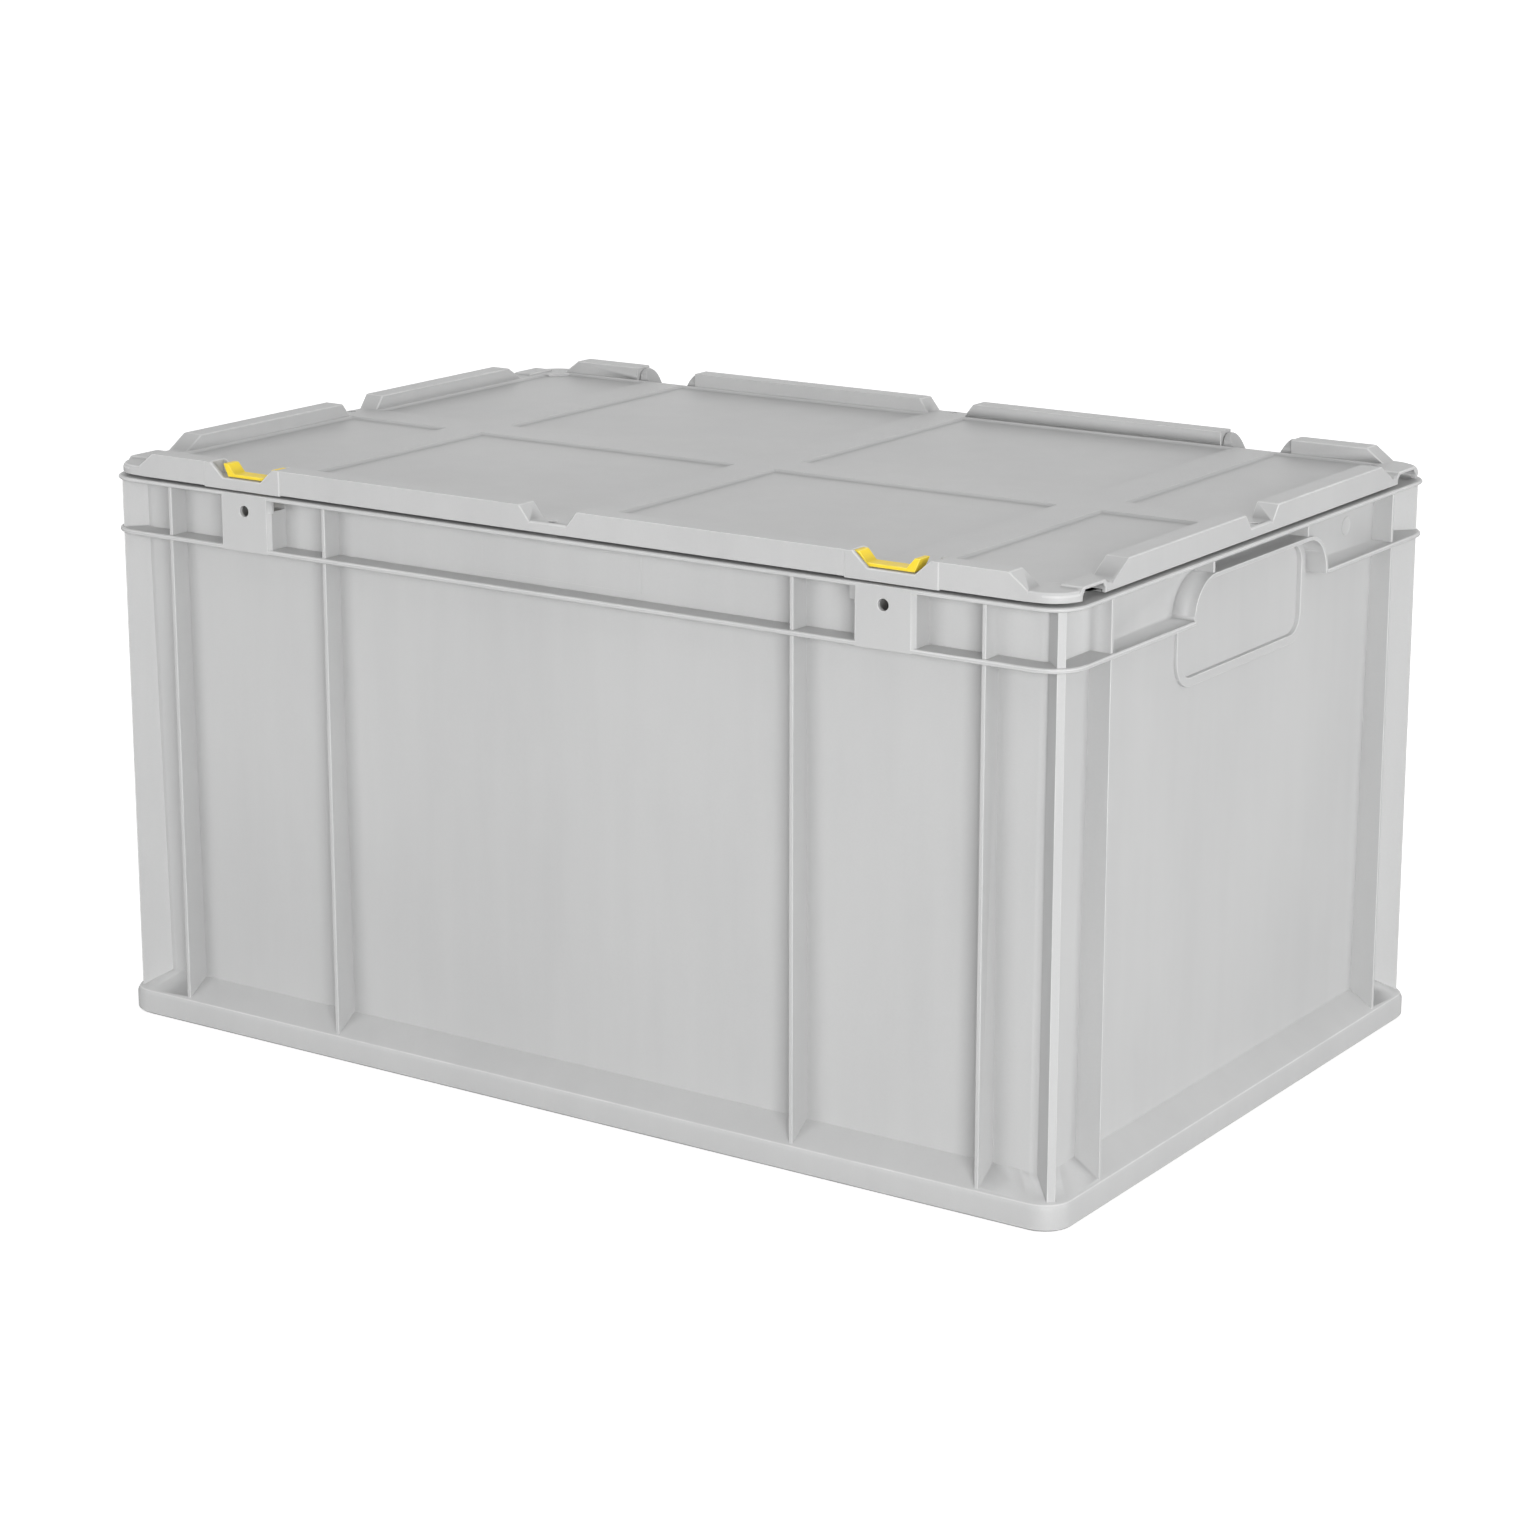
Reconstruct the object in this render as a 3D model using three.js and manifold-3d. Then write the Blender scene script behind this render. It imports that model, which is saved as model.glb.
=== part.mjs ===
// Stacking storage box, 600 x 400 x 320 mm closed: a ribbed box, a hinged lid with raised rails,
// two slide latches at the front and two hinge clips at the back.
// Millimetres. X runs along the long side, -Y is the front, +Z is up, and Z = 0 is the floor.
import * as THREE from "three";
import { mergeVertices } from "three/addons/utils/BufferGeometryUtils.js";
import Module from "manifold-3d";

// Overall sizes.
const HALF_LENGTH = 300;
const HALF_WIDTH = 200;
const TOTAL_HEIGHT = 320;
const GAP = 0.3;
const REACH_PAST = 10;
const ARC_DIVISIONS = 4;

// Box walls: they lean out a little from foot to rim. An inset is measured in from the outer edge.
const RIM_TOP = 305.5;
const RIM_BOTTOM = 303.4;
const RIM_CORNER = 18;
const WALL_INSET = 13;
const WALL_LEAN = 0.009;
const WALL_THICKNESS = 2.6;
const WALL_CORNER = 9;
const CAVITY_CORNER = 7;
const FLOOR_TOP = 6.4;
const FLOOR_BOTTOM = 3.6;

// Base band, as inset and height: foot edge, upright side, rounded shoulder, sloping ledge.
const BASE_CORNER = 15;
const BASE_PROFILE = [
  [1.4, 0],
  [0, 1.4],
  [0, 11],
  [0.9, 13.6],
  [3, 15.2],
  [15.4, 23.6],
];
const BASE_POCKET_OUTER = 3.2;
const BASE_POCKET_INNER = 13;
const BASE_POCKET_TOP = 11;
const BASE_RECESS_INSET = 16.5;
const FLOOR_RIB_BOTTOM = 0.6;
const FLOOR_RIB_SPACING = 94;

// Flange below the rim, and the ribs from the base up to the rim.
const FLANGE_BOTTOM = 274.4;
const FLANGE_TOP = 277;
const EDGE_BEVEL = 0.6;
const RIB_THICKNESS = 2.2;
const RIB_INSET = 1.8;
const RIB_FOOT = 12;
const LONG_SIDE_RIBS = [-254.5, -147, 147, 254.5];
const SHORT_SIDE_RIBS = [-154, 154];
const CORNER_RIB_THICKNESS = 4.3;
const CORNER_RIB_INSET = 6.6;
const CORNER_RIB_ROOT = 21;

// Closed handle on each short side: an arch in the flange over a framed panel.
const ARCH_HALF = 74;
const ARCH_RADIUS = 22;
const ARCH_TOP = 297.4;
const ARCH_THICKNESS = 2.2;
const ARCH_WEB_THICKNESS = 1.8;
const FRAME_HALF = 70;
const FRAME_BOTTOM = 239;
const FRAME_TOP = 295.3;
const FRAME_RADIUS = 15;
const FRAME_WIDTH = 4.7;
const FRAME_RISE = 2;
const PANEL_SINK = 0.6;

// Catch blocks between rim and flange, two at the front and two at the back.
const CATCH_X = 200;
const CATCH_HALF = 17.5;
const CATCH_BEVEL = 2;
const CATCH_FACE = 2.5;
const CATCH_CAVITY_BOTTOM = 284;
const CATCH_CAVITY_DEPTH = 10.3;
const CATCH_CAVITY_INWARD = 10;
const CATCH_CAVITY_OUTWARD = 16;
const CATCH_SLOT_INWARD = 9;
const CATCH_SLOT_OUTWARD = 10.4;
const CATCH_SLOT_FRONT = 7.8;
const CATCH_SLOT_BACK = 12.4;
const CATCH_WINDOW_BOTTOM = 297.6;
const SEAL_HOLE_RADIUS = 3;
const SEAL_HOLE_HEIGHT = 296.3;
const CATCH_LIP = 1.6;
const LABEL_HALF = 50;
const LABEL_BOTTOM = 280.5;
const LABEL_TOP = 299;
const LABEL_RISE = 0.3;

// Lid plate, skirt and rails.
const LID_INSET = 2.5;
const LID_CORNER = 16;
const LID_BOTTOM = 307;
const HINGE_SKIRT_BOTTOM = 307.6;
const LID_TOP = 312.5;
const PLATE_BOTTOM = 308.4;
const LID_EDGE_PROFILE = [
  [0, LID_BOTTOM],
  [0, 310.4],
  [0.7, 311.9],
  [2.2, LID_TOP],
];
const SKIRT_THICKNESS = 2.2;
const RAIL_DEPTH = 12.5;
const RAIL_WALL = 2.2;
const PANEL_DEPTH = 1.7;
const PANEL_BEVEL = 2;
const BAND_HALF = 12.5;
const GROOVE_HALF = 10;
const GROOVE_TOP = 310;
const PANEL_CORNER = 26;
const LOCATING_INSET = 16.8;
const LOCATING_THICKNESS = 2;
const LOCATING_BOTTOM = 300;
const VENT_RADIUS = 2.2;
const VENT_INSET = 7;

// Notches in the rails: floor half-width and the run of each sloping end.
const CENTRE_NOTCH_HALF = 12;
const CENTRE_NOTCH_RUN = 6;
const LATCH_NOTCH_X = 203;
const LATCH_NOTCH_HALF = 13;
const LATCH_NOTCH_RUN = 8.5;
const LONG_RAIL_END = 277;
const LONG_RAIL_END_RUN = 10;
const SHORT_RAIL_END = 159.5;
const SHORT_RAIL_END_RUN = 21;
const HINGE_NOTCH_HALF = 21.5;
const HINGE_NOTCH_FRONT = 184;
const LATCH_PAD_HALF = 26;
const LATCH_PAD_RISE = 0.5;
const LATCH_PAD_BOTTOM = 306.4;

// The pocket in the front rails that each latch slides in, between a front and a back sheet.
const POCKET_START = 180;
const POCKET_END = 226;
const POCKET_FRONT = 195.8;
const POCKET_BACK = 186.2;

// Arched openings in the skirt by each corner of the short sides.
const SKIRT_ARCH_NEAR = 158.5;
const SKIRT_ARCH_FAR = 184;
const SKIRT_ARCH_RUN = 2.4;
const SKIRT_ARCH_TOP = 313.7;
const SKIRT_ARCH_WALL = 1.8;
const SKIRT_ARCH_DEPTH = 12;

// Slide latch: a channel with thick wings, and a hooked tongue that drops into the catch block.
const LATCH_X = 199;
const LATCH_TRAVEL = 8;
const LATCH_PLATE_HALF = 15.5;
const LATCH_PLATE_THICKNESS = 1.8;
const LATCH_WING_TOP = 319.7;
const LATCH_WING_TOP_HALF = 18.7;
const LATCH_TROUGH_HALF = 11;
const LATCH_TROUGH_TOP_HALF = 15.6;
const LATCH_FRONT = 195.5;
const LATCH_BACK = 186.5;
const TONGUE_INWARD = 7;
const TONGUE_OUTWARD = 2;
const TONGUE_FRONT = 190.6;
const TONGUE_BACK = 188.4;
const TONGUE_BOTTOM = 297;
const TOE_OUTWARD = 8;
const TOE_TOP = 302.4;
const TONGUE_CLEARANCE = 0.5;

// Hinge: the lid turns on trunnions at the ends of each hinge clip.
const HINGE_Y = 192.8;
const HINGE_Z = 312.9;
const KNUCKLE_RADIUS = 6;
const KNUCKLE_SIDES = 28;
const CLIP_HALF = 20.9;
const CLIP_FLOOR_HALF = 12.5;
const CLIP_CREST = 18.2;
const CLIP_FLOOR_TOP = 309;
const CLIP_FRONT = 187;
const CLIP_BACK = 198.6;
const TRUNNION_RADIUS = 2.2;
const TRUNNION_LENGTH = 3.4;
const CLIP_TONGUE_HALF = 7;
const CLIP_TONGUE_BOTTOM = 288;
const CLIP_BARB_HALF = 9.4;
const CLIP_BARB_BOTTOM = 296.5;

const GREY = 0xc6c7c6;
const CLIP_GREY = 0xbcbdbc;
const YELLOW = 0xf9d93a;
const SIDES = [-1, 1];

const wasm = await Module();
wasm.setup();

// A closed three.js geometry as a solid.
function solid(geometry) {
  geometry.deleteAttribute("normal");
  geometry.deleteAttribute("uv");
  const merged = mergeVertices(geometry, 1e-4);
  return new wasm.Manifold(
    new wasm.Mesh({
      numProp: 3,
      vertProperties: merged.attributes.position.array,
      triVerts: new Uint32Array(merged.index.array),
    }),
  );
}

// A solid as a named mesh.
function part(name, body, colour) {
  const made = body.getMesh();
  const geometry = new THREE.BufferGeometry();
  geometry.setAttribute("position", new THREE.BufferAttribute(made.vertProperties, 3));
  geometry.setIndex(new THREE.BufferAttribute(made.triVerts, 1));
  geometry.computeVertexNormals();
  const material = new THREE.MeshStandardMaterial({ color: colour, roughness: 0.55, metalness: 0 });
  const mesh = new THREE.Mesh(geometry, material);
  mesh.name = name;
  return mesh;
}

function join(solids) {
  return solids.reduce((whole, piece) => whole.add(piece));
}

// A box between two opposite corners, given in any order.
function block([x0, y0, z0], [x1, y1, z1]) {
  const box = new THREE.BoxGeometry(Math.abs(x1 - x0), Math.abs(y1 - y0), Math.abs(z1 - z0));
  return solid(box.translate((x0 + x1) / 2, (y0 + y1) / 2, (z0 + z1) / 2));
}

function extrusion(shape, depth) {
  const options = { depth, bevelEnabled: false, curveSegments: ARC_DIVISIONS };
  return new THREE.ExtrudeGeometry(shape, options);
}

function outline(points) {
  return new THREE.Shape(points.map(([a, b]) => new THREE.Vector2(a, b)));
}

// An outline drawn in X and Z, carried from one Y to another.
function alongY(shape, y0, y1) {
  const low = Math.min(y0, y1);
  const high = Math.max(y0, y1);
  return solid(extrusion(shape, high - low).rotateX(Math.PI / 2).translate(0, high, 0));
}

// An outline drawn in Y and Z, carried from one X to another.
function alongX(shape, x0, x1) {
  const low = Math.min(x0, x1);
  const turned = extrusion(shape, Math.abs(x1 - x0)).rotateX(Math.PI / 2).rotateZ(Math.PI / 2);
  return solid(turned.translate(low, 0, 0));
}

function roundedRectangle(halfX, halfY, radius, centreY = 0) {
  const shape = new THREE.Shape();
  const x = halfX - radius;
  const y = halfY - radius;
  const quarter = Math.PI / 2;
  shape.absarc(x, centreY + y, radius, 0, quarter);
  shape.absarc(-x, centreY + y, radius, quarter, 2 * quarter);
  shape.absarc(-x, centreY - y, radius, 2 * quarter, 3 * quarter);
  shape.absarc(x, centreY - y, radius, 3 * quarter, 4 * quarter);
  return shape;
}

// A rounded rectangle raised from z0 to z1, whose sides move from one inset to another.
function tray(inset0, inset1, z0, z1, radius, halfX = HALF_LENGTH, halfY = HALF_WIDTH) {
  const shape = roundedRectangle(halfX - inset0, halfY - inset0, radius);
  const geometry = extrusion(shape, z1 - z0);
  const place = geometry.getAttribute("position");
  for (let i = 0; i < place.count; i += 1) {
    const outward = ((inset0 - inset1) * place.getZ(i)) / (z1 - z0);
    place.setX(i, place.getX(i) + Math.sign(place.getX(i)) * outward);
    place.setY(i, place.getY(i) + Math.sign(place.getY(i)) * outward);
  }
  return solid(geometry.translate(0, 0, z0));
}

// Trays stacked on each other along a profile of insets and heights.
function loft(profile, radius, extraInset = 0) {
  const levels = profile.slice(1).map(([inset, z], i) => {
    const [insetBelow, zBelow] = profile[i];
    return tray(insetBelow + extraInset, inset + extraInset, zBelow, z, radius);
  });
  return join(levels);
}

function ledge(bottom, top) {
  const profile = [
    [EDGE_BEVEL, bottom],
    [0, bottom + EDGE_BEVEL],
    [0, top - EDGE_BEVEL],
    [EDGE_BEVEL, top],
  ];
  return loft(profile, RIM_CORNER);
}

function wallInset(z) {
  return WALL_INSET + (RIM_TOP - z) * WALL_LEAN;
}

function wallTray(extraInset, z0, z1, radius) {
  return tray(wallInset(z0) + extraInset, wallInset(z1) + extraInset, z0, z1, radius);
}

// Upright ribs on all four walls, and one across each corner.
function ribs() {
  const made = [];
  const root = WALL_INSET + WALL_THICKNESS;
  const half = RIB_THICKNESS / 2;
  for (const side of SIDES) {
    for (const x of LONG_SIDE_RIBS) {
      const inner = [x - half, side * (HALF_WIDTH - root), RIB_FOOT];
      made.push(block(inner, [x + half, side * (HALF_WIDTH - RIB_INSET), RIM_TOP - EDGE_BEVEL]));
    }
    for (const y of SHORT_SIDE_RIBS) {
      const inner = [side * (HALF_LENGTH - root), y - half, RIB_FOOT];
      made.push(block(inner, [side * (HALF_LENGTH - RIB_INSET), y + half, RIM_TOP - EDGE_BEVEL]));
    }
  }
  const middle = (CORNER_RIB_ROOT + CORNER_RIB_INSET) / 2;
  const length = (CORNER_RIB_ROOT - CORNER_RIB_INSET) * Math.SQRT2;
  const height = RIM_BOTTOM + EDGE_BEVEL - RIB_FOOT;
  for (const sideX of SIDES) {
    for (const sideY of SIDES) {
      const rib = new THREE.BoxGeometry(length, CORNER_RIB_THICKNESS, height);
      rib.rotateZ((sideX * sideY * Math.PI) / 4);
      rib.translate(sideX * (HALF_LENGTH - middle), sideY * (HALF_WIDTH - middle), RIB_FOOT + height / 2);
      made.push(solid(rib));
    }
  }
  return join(made);
}

// The arch that lifts the flange over a closed handle, drawn in Y and Z.
function archOutline() {
  const shape = new THREE.Shape();
  const centre = ARCH_HALF - ARCH_RADIUS;
  const springing = ARCH_TOP - ARCH_RADIUS;
  const inner = ARCH_RADIUS - ARCH_THICKNESS;
  shape.moveTo(-ARCH_HALF, FLANGE_BOTTOM);
  shape.absarc(-centre, springing, ARCH_RADIUS, Math.PI, Math.PI / 2, true);
  shape.absarc(centre, springing, ARCH_RADIUS, Math.PI / 2, 0, true);
  shape.lineTo(ARCH_HALF, FLANGE_BOTTOM);
  shape.lineTo(ARCH_HALF - ARCH_THICKNESS, FLANGE_BOTTOM);
  shape.absarc(centre, springing, inner, 0, Math.PI / 2, false);
  shape.absarc(-centre, springing, inner, Math.PI / 2, Math.PI, false);
  shape.lineTo(-ARCH_HALF + ARCH_THICKNESS, FLANGE_BOTTOM);
  return shape;
}

function handleFrame(shrink) {
  const halfHeight = (FRAME_TOP - FRAME_BOTTOM) / 2 - shrink;
  const centre = (FRAME_TOP + FRAME_BOTTOM) / 2;
  return roundedRectangle(FRAME_HALF - shrink, halfHeight, FRAME_RADIUS - shrink, centre);
}

// Both closed handles: what is added to the box, and what is cut from it.
function handles() {
  const wallX = HALF_LENGTH - wallInset(FRAME_BOTTOM);
  const root = wallX - WALL_THICKNESS / 2;
  const webY = ARCH_HALF - ARCH_RADIUS;
  const halfWeb = ARCH_WEB_THICKNESS / 2;
  const added = [];
  const cut = [];
  for (const side of SIDES) {
    added.push(alongX(archOutline(), side * root, side * (HALF_LENGTH - EDGE_BEVEL)));
    added.push(alongX(handleFrame(0), side * root, side * (wallX + FRAME_RISE)));
    const panelX = side * (wallX - PANEL_SINK);
    cut.push(alongX(handleFrame(FRAME_WIDTH), panelX, side * (HALF_LENGTH + REACH_PAST)));
    for (const y of [-webY, webY]) {
      const inner = [side * root, y - halfWeb, ARCH_TOP - ARCH_THICKNESS];
      added.push(block(inner, [side * (HALF_LENGTH - RIB_INSET), y + halfWeb, RIM_BOTTOM + EDGE_BEVEL]));
    }
  }
  return { added: join(added), cut: join(cut) };
}

// Where the flange stops for the handle arches.
function flangeGaps() {
  const gap = ARCH_HALF - ARCH_THICKNESS / 2;
  const gaps = SIDES.map((side) =>
    block(
      [side * (HALF_LENGTH - WALL_INSET), -gap, FLANGE_BOTTOM - 1],
      [side * (HALF_LENGTH + REACH_PAST), gap, FLANGE_TOP + 1],
    ),
  );
  return join(gaps);
}

// One catch block. It stands on the front for sideY = -1, and on the back for sideY = 1.
function catchBlock(sideX, sideY) {
  const at = (offset, inset, z) => [sideX * (CATCH_X + offset), sideY * (HALF_WIDTH - inset), z];
  const root = WALL_INSET + WALL_THICKNESS / 2;
  const plan = outline(
    [
      [-CATCH_HALF, root],
      [-CATCH_HALF, CATCH_BEVEL],
      [-CATCH_HALF + CATCH_BEVEL, 0],
      [CATCH_HALF - CATCH_BEVEL, 0],
      [CATCH_HALF, CATCH_BEVEL],
      [CATCH_HALF, root],
    ].map(([offset, inset]) => at(offset, inset).slice(0, 2)),
  );
  const body = solid(extrusion(plan, RIM_TOP - FLANGE_BOTTOM).translate(0, 0, FLANGE_BOTTOM));
  const lip = block(
    at(-CATCH_HALF - CATCH_LIP, EDGE_BEVEL, CATCH_WINDOW_BOTTOM - EDGE_BEVEL),
    at(-CATCH_HALF + CATCH_LIP, CATCH_FACE, RIM_BOTTOM + EDGE_BEVEL),
  );
  return body.add(lip);
}

function catchCavity(sideX, sideY) {
  const at = (offset, inset, z) => [sideX * (CATCH_X + offset), sideY * (HALF_WIDTH - inset), z];
  const back = CATCH_FACE + CATCH_CAVITY_DEPTH;
  const room = block(
    at(-CATCH_CAVITY_INWARD, CATCH_FACE, CATCH_CAVITY_BOTTOM),
    at(CATCH_CAVITY_OUTWARD, back, RIM_BOTTOM),
  );
  const slot = block(
    at(-CATCH_SLOT_INWARD, CATCH_SLOT_FRONT, CATCH_CAVITY_BOTTOM),
    at(CATCH_SLOT_OUTWARD, CATCH_SLOT_BACK, RIM_TOP + REACH_PAST),
  );
  const window = block(
    at(-CATCH_CAVITY_INWARD - REACH_PAST, CATCH_FACE, CATCH_WINDOW_BOTTOM),
    at(-CATCH_CAVITY_INWARD + 1, back, RIM_BOTTOM),
  );
  const hole = new THREE.CylinderGeometry(SEAL_HOLE_RADIUS, SEAL_HOLE_RADIUS, 2 * (CATCH_FACE + 1), 20);
  hole.translate(sideX * CATCH_X, sideY * HALF_WIDTH, SEAL_HOLE_HEIGHT);
  return join([room, slot, window, solid(hole)]);
}

function forEachCorner(make) {
  return join(SIDES.flatMap((sideX) => SIDES.map((sideY) => make(sideX, sideY))));
}

// Pockets from below in the base band, split by cross webs in line with the ribs.
function basePockets() {
  const web = RIB_THICKNESS / 2;
  const corner = 2 * BASE_POCKET_INNER;
  const longStops = [-HALF_LENGTH + corner, ...LONG_SIDE_RIBS.slice(1, 3), HALF_LENGTH - corner];
  const shortStops = [-HALF_WIDTH + corner, 0, HALF_WIDTH - corner];
  const pockets = [];
  for (const side of SIDES) {
    longStops.slice(1).forEach((stop, i) => {
      const low = [longStops[i] + web, side * (HALF_WIDTH - BASE_POCKET_INNER), -1];
      pockets.push(block(low, [stop - web, side * (HALF_WIDTH - BASE_POCKET_OUTER), BASE_POCKET_TOP]));
    });
    shortStops.slice(1).forEach((stop, i) => {
      const low = [side * (HALF_LENGTH - BASE_POCKET_INNER), shortStops[i] + web, -1];
      pockets.push(block(low, [side * (HALF_LENGTH - BASE_POCKET_OUTER), stop - web, BASE_POCKET_TOP]));
    });
  }
  return join(pockets);
}

// The recess under the floor, with a grid of low ribs left standing in it.
function floorRecess() {
  const half = RIB_THICKNESS / 2;
  const grid = [];
  for (const step of [-2.5, -1.5, -0.5, 0.5, 1.5, 2.5]) {
    const x = step * FLOOR_RIB_SPACING;
    grid.push(block([x - half, -HALF_WIDTH, FLOOR_RIB_BOTTOM], [x + half, HALF_WIDTH, FLOOR_TOP]));
  }
  for (const step of [-1, 0, 1]) {
    const y = step * FLOOR_RIB_SPACING;
    grid.push(block([-HALF_LENGTH, y - half, FLOOR_RIB_BOTTOM], [HALF_LENGTH, y + half, FLOOR_TOP]));
  }
  const recess = tray(BASE_RECESS_INSET, BASE_RECESS_INSET, -1, FLOOR_BOTTOM, CAVITY_CORNER);
  return recess.subtract(join(grid));
}

function boxBody() {
  const handle = handles();
  const front = -HALF_WIDTH + wallInset(LABEL_BOTTOM);
  const label = block([-LABEL_HALF, front - LABEL_RISE, LABEL_BOTTOM], [LABEL_HALF, front + 1, LABEL_TOP]);
  const outside = join([
    loft(BASE_PROFILE, BASE_CORNER),
    wallTray(0, FLOOR_TOP, RIM_TOP - EDGE_BEVEL, WALL_CORNER),
    ledge(RIM_BOTTOM, RIM_TOP),
    ledge(FLANGE_BOTTOM, FLANGE_TOP).subtract(flangeGaps()),
    ribs(),
    handle.added,
    forEachCorner(catchBlock),
    label,
  ]);
  return outside
    .subtract(handle.cut)
    .subtract(forEachCorner(catchCavity))
    .subtract(wallTray(WALL_THICKNESS, FLOOR_TOP, RIM_TOP + REACH_PAST, CAVITY_CORNER))
    .subtract(floorRecess())
    .subtract(basePockets());
}

// How far a rail's sloping end lies back at a height, and how far a wall of even thickness sets it in.
function endSetback({ run, foot }, z, wall) {
  const height = TOTAL_HEIGHT - foot;
  return (run * (z - foot)) / height + (wall * Math.hypot(run, height)) / height;
}

// A rail's outline along its side, or the outline of the hollow in it when it has a wall.
function railPoints(start, end, wall) {
  const top = TOTAL_HEIGHT - wall;
  const low = wall > 0 ? LID_BOTTOM - 1 : LID_BOTTOM;
  const points = [
    [start.at + endSetback(start, start.foot, wall), start.foot],
    [start.at + endSetback(start, top, wall), top],
    [end.at - endSetback(end, top, wall), top],
    [end.at - endSetback(end, end.foot, wall), end.foot],
  ];
  if (end.foot > low) points.push([points[3][0], low]);
  if (start.foot > low) points.unshift([points[0][0], low]);
  return points;
}

// The rails of one side, from the middle outwards. A hollow stops short of the latch pockets.
function railSpans(kind, wall) {
  const centre = { at: CENTRE_NOTCH_HALF, run: CENTRE_NOTCH_RUN, foot: LID_TOP };
  if (kind === "short") {
    return [[centre, { at: SHORT_RAIL_END, run: SHORT_RAIL_END_RUN, foot: LID_BOTTOM }]];
  }
  const corner = { at: LONG_RAIL_END, run: LONG_RAIL_END_RUN, foot: LID_TOP };
  const upright = (at) => ({ at, run: 0, foot: LID_TOP });
  if (kind === "back") {
    return [
      [centre, upright(CATCH_X - HINGE_NOTCH_HALF)],
      [upright(CATCH_X + HINGE_NOTCH_HALF), corner],
    ];
  }
  if (wall > 0) {
    return [
      [centre, upright(POCKET_START)],
      [upright(POCKET_END), corner],
    ];
  }
  const sloping = (at) => ({ at, run: LATCH_NOTCH_RUN, foot: LID_TOP });
  return [
    [centre, sloping(LATCH_NOTCH_X - LATCH_NOTCH_HALF)],
    [sloping(LATCH_NOTCH_X + LATCH_NOTCH_HALF), corner],
  ];
}

// All rails of one side, or their hollows when a wall thickness is given.
function sideRails(kind, side, wall) {
  const outer = (kind === "short" ? HALF_LENGTH : HALF_WIDTH) - LID_INSET - wall;
  const inner = outer - RAIL_DEPTH + 2 * wall;
  const carry = kind === "short" ? alongX : alongY;
  const made = railSpans(kind, wall).flatMap(([start, end]) => {
    const points = railPoints(start, end, wall);
    const mirrored = points.map(([along, z]) => [-along, z]).reverse();
    return [points, mirrored].map((line) => carry(outline(line), side * inner, side * outer));
  });
  return join(made);
}

function allRails(wall) {
  return join([
    sideRails("front", -1, wall),
    sideRails("back", 1, wall),
    sideRails("short", -1, wall),
    sideRails("short", 1, wall),
  ]);
}

// The hollows under the rails, opened down through the skirt.
function railHollows() {
  const lower = (geometry) => geometry.translate(0, 0, LID_BOTTOM - LID_TOP);
  const hollows = allRails(RAIL_WALL);
  return hollows.add(lower(hollows));
}

// The sunk panels of the lid's top, four across and two deep.
function panels() {
  const edgeX = HALF_LENGTH - LID_INSET - RAIL_DEPTH - PANEL_BEVEL;
  const edgeY = HALF_WIDTH - LID_INSET - RAIL_DEPTH - PANEL_BEVEL;
  const columns = [
    [BAND_HALF, CATCH_X - BAND_HALF],
    [CATCH_X + BAND_HALF, edgeX],
  ];
  const made = [];
  for (const [x0, x1] of columns) {
    for (const sideX of SIDES) {
      for (const sideY of SIDES) {
        const halfX = (x1 - x0) / 2 - PANEL_BEVEL;
        const halfY = (edgeY - BAND_HALF) / 2 - PANEL_BEVEL;
        const floor = LID_TOP - PANEL_DEPTH;
        const pocket = tray(0, -2 * PANEL_BEVEL, floor, LID_TOP + PANEL_DEPTH, 1, halfX, halfY);
        made.push(pocket.translate(sideX * ((x0 + x1) / 2), sideY * ((edgeY + BAND_HALF) / 2), 0));
      }
    }
  }
  const inset = LID_INSET + RAIL_DEPTH;
  const limit = tray(inset, inset, PLATE_BOTTOM, TOTAL_HEIGHT, PANEL_CORNER);
  return join(made).intersect(limit);
}

// Grooves under the bands, so that the plate keeps an even thickness.
function bandGrooves() {
  const endX = HALF_LENGTH - LOCATING_INSET - LOCATING_THICKNESS;
  const endY = HALF_WIDTH - LOCATING_INSET - LOCATING_THICKNESS;
  const low = LID_BOTTOM - 1;
  const cross = [-CATCH_X, 0, CATCH_X].map((x) =>
    block([x - GROOVE_HALF, -endY, low], [x + GROOVE_HALF, endY, GROOVE_TOP]),
  );
  return join([block([-endX, -GROOVE_HALF, low], [endX, GROOVE_HALF, GROOVE_TOP]), ...cross]);
}

// A ring that stands down from the lid between two insets.
function lidRing(outerInset, innerInset, bottom) {
  const outer = tray(outerInset, outerInset, bottom, GROOVE_TOP, CAVITY_CORNER);
  return outer.subtract(tray(innerInset, innerInset, bottom - 1, GROOVE_TOP + 1, CAVITY_CORNER));
}

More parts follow.
